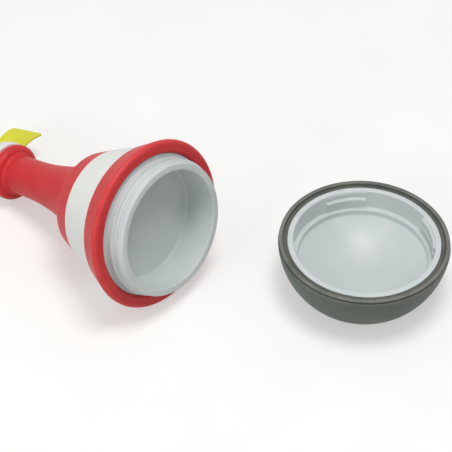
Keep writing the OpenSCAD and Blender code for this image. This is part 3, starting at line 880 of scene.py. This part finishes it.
# %% Flange band
EDGE_R = 2.5
HOLE_ROUND = 3
PROUD = 0.6
FLANGE_ROUNDS = [1, 0.35, 0.3, 0.5, 0.3]
band_z0 = FLANGE_BAND_H
band_r0 = RIM_R - FLANGE_BAND_IN
hole_lean = math.degrees(math.acos(1 - HOLE_DROP / HOLE_ROUND))
face_in_r = hole_r + HOLE_ROUND * math.sin(math.radians(hole_lean))
flange_outline = fine(np.vstack([
    arc([face_in_r, HOLE_ROUND], HOLE_ROUND, -90 - hole_lean, -90, 12),
    arc([RIM_R - EDGE_R, EDGE_R], EDGE_R, -90, 0, 12),
    soften([[RIM_R, EDGE_R + PROUD / 2], [RIM_R, EDGE_R + PROUD], [band_r0 + PROUD, band_z0],
            [band_r0 - SKIN_T, band_z0], [RIM_R - wall_slope * SKIN_T - SKIN_T, SKIN_T],
            [hole_r, SKIN_T], [hole_r, HOLE_DROP]], FLANGE_ROUNDS)]))
flange = skin("flange_band_skin", turned(flange_outline), lying, rounding(flange_outline))
dress(flange, "flange_band", RED_RUBBER)

# %% [markdown]
# ## The white band
#
# The white band is a plain cone between two red skins. Its outline starts and ends in the middle
# of its outer side, because the helper that rounds corners leaves the two ends of an outline
# alone, and there they do no harm.

# %% White band
WHITE_BAND_H = 31
WHITE_BAND_IN = 10.8
BAND_ROUND = 0.3
band_z1 = band_z0 + WHITE_BAND_H
band_r1 = band_r0 - WHITE_BAND_IN
band_middle = [(band_r0 + band_r1) / 2, (band_z0 + band_z1) / 2]
white_outline = fine(soften([
    band_middle, [band_r1, band_z1], [band_r1 - SKIN_T, band_z1],
    [band_r0 - SKIN_T, band_z0], [band_r0, band_z0], band_middle], BAND_ROUND))
white = skin("white_band_skin", turned(white_outline), lying, rounding(white_outline))
dress(white, "white_band", WHITE_RUBBER)

# %% [markdown]
# ## Shoulder and neck
#
# The second red skin leans in over the white band, turns a round shoulder and becomes the long
# neck. The neck's flare is a parabola: its radius falls with the square of the distance that is
# left, so it leaves the shoulder steeply and ends parallel to the axis. A spline would do as
# well, but a formula has fewer values to get wrong, and its inner wall is the same curve moved
# in by the wall's thickness.

# %% Shoulder and neck
SHOULDER_H = 16.5
SHOULDER_IN = 6.2
SHOULDER_ROUND = 5
NECK_R0 = 26.8
NECK_R1 = 14.5
FLARE_L = 64.5
NECK_L = 80
NECK_FILLET = 2.2
FLARE_STEPS = 40
shoulder_z = band_z1 + SHOULDER_H
shoulder_r = band_r1 - SHOULDER_IN
neck_z = shoulder_z + NECK_L
lean = math.degrees(math.atan2(SHOULDER_IN, SHOULDER_H))
corner_z = shoulder_z - SHOULDER_ROUND
corner_wall = np.interp(corner_z, [band_z1, shoulder_z], [band_r1, shoulder_r])
corner_r = corner_wall - SHOULDER_ROUND / math.cos(math.radians(lean))


def flare(inset):
    """The neck's curve, moved inwards by an inset: the radius falls as a parabola."""
    left = np.linspace(1, 0, FLARE_STEPS)
    radius = NECK_R1 + (NECK_R0 - NECK_R1) * left ** 2 - inset
    return np.column_stack([radius, shoulder_z + FLARE_L * (1 - left)])


neck_outline = fine(np.vstack([
    soften([[band_r1 - SKIN_T / 2, band_z1], [band_r1, band_z1], [corner_wall, corner_z]],
           BAND_ROUND),
    arc([corner_r, corner_z], SHOULDER_ROUND, lean, 90, 12),
    flare(0),
    arc([NECK_R1 + NECK_FILLET, neck_z - NECK_FILLET], NECK_FILLET, 180, 90),
    [[NECK_R1 - SKIN_T, neck_z]],
    flare(SKIN_T)[::-1],
    [[NECK_R0 - SKIN_T, shoulder_z - SKIN_T]],
    arc([corner_r, corner_z], SHOULDER_ROUND - SKIN_T, 90, lean),
    [[band_r1 - SKIN_T, band_z1], [band_r1 - SKIN_T / 2, band_z1]]]))
neck = skin("neck_skin_soft", turned(neck_outline), lying, rounding(neck_outline))
dress(neck, "neck_skin", RED_RUBBER)

# %% [markdown]
# ## The collar
#
# The collar is a fat ring with a half-round outside, which is one arc and a straight bore. On
# top of it sits a small round pip, where the rubber was let into the mould. A pip can be a
# little bump on the same grid: each point moves out by an amount that falls off smoothly with
# its distance from the pip's middle.

# %% Collar
COLLAR_OUT = 6.6
COLLAR_H = 9
STEM_GAP = 0.3
PIP_ANGLE = -8
PIP_R = 1.1
PIP_LOW = 2.5
PIP_H = 0.35
PIP_REACH = 1.5
PIP_ANGLES = np.arange(-5, 5.01, 0.5)
COLLAR_SIDE = 0.5
collar_r = NECK_R1 + COLLAR_OUT
collar_middle = neck_z + COLLAR_H / 2
head_base = neck_z + COLLAR_H
stem_r = NECK_R1 - SKIN_T - STEM_GAP
collar_bore = stem_r + STEM_GAP
collar_outline = fine(np.vstack([
    [[collar_bore, neck_z]],
    arc([collar_r - COLLAR_H / 2, collar_middle], COLLAR_H / 2, -90, 90, 20),
    [[collar_bore, head_base], [collar_bore, neck_z]]]), COLLAR_SIDE)


def pip_relief(angle, z):
    """A round pip on the ring's proudest line, from the distance round the ring and along it."""
    round_off = ((angle - PIP_ANGLE + 180) % 360 - 180) * math.radians(collar_r)
    return PIP_H * smooth(PIP_REACH - np.hypot(round_off, z - collar_middle + PIP_LOW) / PIP_R)


collar_angles = np.unique(np.round(np.concatenate([EVEN_ANGLES, PIP_ANGLE + PIP_ANGLES]), 3))
outer_rows = slice(1, np.flatnonzero(collar_outline[:, 1] >= head_base)[0])
collar_grid = relieved(collar_outline, collar_angles, outer_rows, pip_relief)
collar = skin("collar_ring_skin", collar_grid, lying)
dress(collar, "collar_ring", RED_RUBBER)

# %% [markdown]
# ## The flag's wave
#
# Head and flag belong together, because the flag's root sits in a slot of the head. So the
# flag's sizes come first. Its sheet swings to both sides as a cosine of the distance from a
# crest near the free edge, and the slot follows the same wave.

# %% Flag sizes and wave
HEAD_R = 21.2
HEAD_RISE = 2.5
FLAG_OUT = 23
FLAG_DEPTH = 15.2
FLAG_RISE = 7
FLAG_H = 28
FLAG_LEAN_IN = 5.2
FLAG_T = 2.4
FLAG_WAVE = 4.6
FLAG_HALF_WAVE = 37.5
FLAG_CREST = 10.8
head_z = head_base + HEAD_RISE
flag_r = HEAD_R + FLAG_OUT
flag_root = HEAD_R - FLAG_DEPTH
flag_z = head_z + FLAG_RISE


def wave(y):
    """How far the flag's middle swings to the side: a cosine of the distance from its crest."""
    return FLAG_WAVE * np.cos(np.pi * (y - flag_r + FLAG_CREST) / FLAG_HALF_WAVE)


swings = wave(np.linspace(flag_root, flag_r, 3)).round(2)
print("the flag's root, middle and free edge swing by", swings, "mm")

# %% [markdown]
# ## The head
#
# The white head is a ball with a stem that runs down into the neck. The slot for the flag is
# made by the same means as the lugs: the ball's grid has close columns near the flag, and every
# point that lies nearer to the flag's middle than the slot's half width moves inwards. Cutting
# it with a boolean would work too, but leaves a rough patchwork of faces around the cut.

# %% Head
STEM_L = 14
SLOT_GAP = 0.1
SLOT_CUT = 1.5
SLOT_RAMP = 0.3
CLOSE_FROM = 66
CLOSE_TO = 134
CLOSE_STEP = 0.5
WIDE_STEP = 2.0
HEAD_SIDE = 0.8
STEM_ROUND = 0.4
near_slot = np.arange(CLOSE_FROM, CLOSE_TO + CLOSE_STEP / 2, CLOSE_STEP)
elsewhere = np.arange(CLOSE_TO + WIDE_STEP, CLOSE_FROM + 360 - WIDE_STEP, WIDE_STEP)
head_angles = np.sort(np.concatenate([near_slot, elsewhere]) % 360)
head_start = math.degrees(math.asin((head_base - head_z) / HEAD_R))
head_outline = fine(np.vstack([
    soften([[0, neck_z - STEM_L], [stem_r, neck_z - STEM_L], [stem_r, head_base],
            [HEAD_R * math.cos(math.radians(head_start)), head_base]], STEM_ROUND),
    arc([0, head_z], HEAD_R, head_start, 90, 120)]), HEAD_SIDE)
head_grid = turned(head_outline, head_angles)
x, y, z = head_grid.transpose(2, 0, 1)
beside = smooth((FLAG_T / 2 + SLOT_GAP + SLOT_RAMP - np.abs(x - wave(y))) / SLOT_RAMP)
above = smooth((z - flag_z + SLOT_GAP + SLOT_RAMP) / SLOT_RAMP)
outward = smooth((y - flag_root + SLOT_GAP + SLOT_RAMP) / SLOT_RAMP)
pull = 1 - beside * above * outward * SLOT_CUT / HEAD_R
head_grid = np.dstack([x * pull, y * pull, head_z + (z - head_z) * pull])
head = skin("head_ball_skin", head_grid, lying, rounding(head_outline))
dress(head, "head_ball", WHITE_RUBBER)

# %% [markdown]
# ## The flag
#
# The flag is a thick tongue of rubber whose free edge leans in towards a round corner. It is
# made as a pillow. Its outline is drawn flat, and at each point of it the direction outwards is
# known. Seen across the sheet, the edge is a small half-round, so each row of the grid is the
# outline moved inwards by some distance, at some height over the middle. Both faces then run
# from the edge to the centre, and the whole plate is bent by the wave.

# %% Flag outline
FLAG_CORNER = 5
FLAG_EDGE = 0.9
TIP_ROUND = 1.5
LOOP_SIDE = 0.6
lean_top = flag_r - FLAG_LEAN_IN
half_up = (flag_r + lean_top) / 2
flag_loop = fine(soften([
    [half_up, FLAG_H / 2], [lean_top, FLAG_H], [flag_root, FLAG_H], [flag_root, 0],
    [flag_r, 0], [half_up, FLAG_H / 2]],
    [FLAG_CORNER, TIP_ROUND, TIP_ROUND, TIP_ROUND], 10), LOOP_SIDE)[:-1]
tangent = np.roll(flag_loop, -1, axis=0) - np.roll(flag_loop, 1, axis=0)
tangent = tangent / np.linalg.norm(tangent, axis=1)[:, None]
flag_out = np.column_stack([tangent[:, 1], -tangent[:, 0]])
flag_middle = np.array([(flag_root + lean_top) / 2, FLAG_H / 2])
if ((flag_loop - flag_middle) * flag_out).sum() < 0:
    flag_out = -flag_out
print(len(flag_loop), "points round the flag")

# %% Flag
FACE_STEPS = 24
EDGE_STEPS = 13
# The flag's rim gets the paler edge tone, partly rubbing and partly a painted highlight.
TIP_WEAR_AND_HIGHLIGHT = 0.8
half_t = FLAG_T / 2
edge_turn = np.radians(np.linspace(90, -90, EDGE_STEPS))
edge_in = FLAG_EDGE * (1 - np.cos(edge_turn))
edge_up = FLAG_EDGE * np.sin(edge_turn) + np.sign(np.sin(edge_turn).round(6)) * (half_t - FLAG_EDGE)
edge_rows = flag_loop[None] - edge_in[:, None, None] * flag_out[None]
share = np.linspace(0, 1, FACE_STEPS, endpoint=False)[:, None, None]
face_rows = flag_middle + share * (edge_rows[0] - flag_middle)
flag_rows = np.concatenate([face_rows, edge_rows, face_rows[::-1]])
flag_up = np.pad(edge_up, FACE_STEPS, "edge")
flag_wear_and_highlight = np.pad(np.cos(edge_turn) * TIP_WEAR_AND_HIGHLIGHT, FACE_STEPS)
flag_grid = np.dstack([flag_up[:, None] + wave(flag_rows[..., 0]), flag_rows[..., 0],
                       flag_rows[..., 1] + flag_z])
flag = skin("signal_flag_skin", flag_grid, lying, flag_wear_and_highlight)
dress(flag, "signal_flag", YELLOW_RUBBER)

# %% [markdown]
# ## Floor and background
#
# The toy is shown the way a shop shows it, on white. The floor is pale and dull, and what the
# lamps put on it isn't quite white, so for camera rays alone it also glows by the little that
# is missing. Where the toy takes light away, the floor still gets darker, so the shadow stays.
# The background is white for the camera, for mirrors and for glass, and softer for everything
# else, because it also lights the toy.

# %% Floor
FLOOR_SIZE = 6.0
FLOOR_TONE = "#CFCFCC"
FLOOR_TONE_2 = "#CBCBC8"
FLOOR_PATCH_MM = 90
FLOOR_ROUGHNESS = 0.9
FLOOR_GLOW = 0.42


def camera_like(tree):
    """A share that is 1 for camera, mirror and glass rays, and 0 for the light on the toy."""
    path = add(tree, "LightPath")
    rays = add(tree, "Math", {0: path.outputs["Is Camera Ray"], 1: path.outputs["Is Glossy Ray"]},
               operation="MAXIMUM").outputs[0]
    return add(tree, "Math", {0: rays, 1: path.outputs["Is Transmission Ray"]},
               operation="MAXIMUM").outputs[0]


def pale_floor():
    """A large dull sheet that glows a little where the camera looks."""
    material, tree, output, place = new_material("pale_floor_paint")
    tone = tint(tree, spots(tree, place, FLOOR_PATCH_MM), FLOOR_TONE, FLOOR_TONE_2)
    glow = add(tree, "Math", {0: camera_like(tree), 1: FLOOR_GLOW}, operation="MULTIPLY")
    shader = add(tree, "BsdfPrincipled", {"Base Color": tone, "Roughness": FLOOR_ROUGHNESS,
                                          "Specular IOR Level": 0.0,
                                          "Emission Color": (1, 1, 1, 1),
                                          "Emission Strength": glow.outputs[0]})
    tree.links.new(shader.outputs[0], output.inputs[0])
    mesh = bpy.data.meshes.new("floor")
    half = FLOOR_SIZE / 2
    mesh.from_pydata([(-half, -half, 0), (half, -half, 0), (half, half, 0), (-half, half, 0)], [],
                     [(0, 1, 2, 3)])
    mesh.materials.append(material)
    floor = bpy.data.objects.new("floor", mesh)
    bpy.context.scene.collection.objects.link(floor)
    print("the floor is", FLOOR_SIZE, "m wide and glows by", FLOOR_GLOW)


pale_floor()

# %% Background
AMBIENT = 0.43


def white_world():
    """The background: white to look at, and an even dim light for the toy."""
    world = bpy.data.worlds.new("studio")
    bpy.context.scene.world = world
    world.use_nodes = True
    tree = world.node_tree
    tree.nodes.clear()
    seen = add(tree, "MapRange", {"Value": camera_like(tree), "To Min": AMBIENT}).outputs[0]
    light = add(tree, "Background", {"Color": (1, 1, 1, 1), "Strength": seen})
    output = add(tree, "OutputWorld")
    tree.links.new(light.outputs[0], output.inputs[0])
    print("the background lights the toy with a strength of", AMBIENT)


white_world()

# %% [markdown]
# ## Light
#
# Product pictures are lit by large soft boxes, which leave soft shadows and wide, dull
# highlights. A square area lamp does the same: the larger it is, the softer its shadow. The
# stronger one hangs overhead, and a weaker one fills in from the left. Each lamp is turned to
# the middle of the toy by a rotation that points its own minus Z direction there.

# %% Soft boxes
toy_middle = mathutils.Vector((np.array(cad_box[0]) + np.array(cad_box[1])) / 2)


def softbox(name, place, size, watts):
    """A square lamp that looks at the middle of the toy."""
    lamp = bpy.data.lights.new(name, "AREA")
    lamp.size = size
    lamp.energy = watts
    holder = bpy.data.objects.new(name, lamp)
    holder.location = place
    towards = toy_middle - mathutils.Vector(place)
    holder.rotation_euler = towards.to_track_quat("-Z", "Y").to_euler()
    bpy.context.scene.collection.objects.link(holder)
    print(f"{name}: {watts} W and {size} m wide, {towards.length:.2f} m away")


softbox("overhead_softbox", (0.02, -0.1, 1.3), 0.45, 7.8)
softbox("left_softbox", (-0.95, -0.9, 0.5), 0.5, 3.5)
bpy.context.scene.view_settings.view_transform = "Standard"

# %% [markdown]
# ## The camera
#
# The picture was taken from a little over a metre away, looking down at about 45 degrees. The
# focal length, the pitch and the place come from a fit of the toy's circles to their outlines in
# the picture, in pixels of a frame that is 452 wide. A camera looks along its own minus Z, so
# tilting it up from straight down by what is left to 90 degrees gives the pitch, and a small
# turn about its own axis gives the roll.

# %% Camera
PICTURE_W = 452
SENSOR_MM = 36
FOCAL_PX = 1487.655
PITCH_DOWN = 44.871
ROLL = -0.395
CAMERA_AT = (-0.095862, -0.724132, 0.779376)

camera = bpy.data.cameras.new("camera")
camera.sensor_width = SENSOR_MM
camera.lens = SENSOR_MM * FOCAL_PX / PICTURE_W
pitch = mathutils.Matrix.Rotation(math.radians(90 - PITCH_DOWN), 3, "X")
roll = mathutils.Matrix.Rotation(math.radians(ROLL), 3, "Z")
tripod = bpy.data.objects.new("camera", camera)
tripod.location = CAMERA_AT
tripod.rotation_euler = (pitch @ roll).to_euler()
bpy.context.scene.collection.objects.link(tripod)
bpy.context.scene.camera = tripod
print(f"the lens is {camera.lens:.1f} mm long")
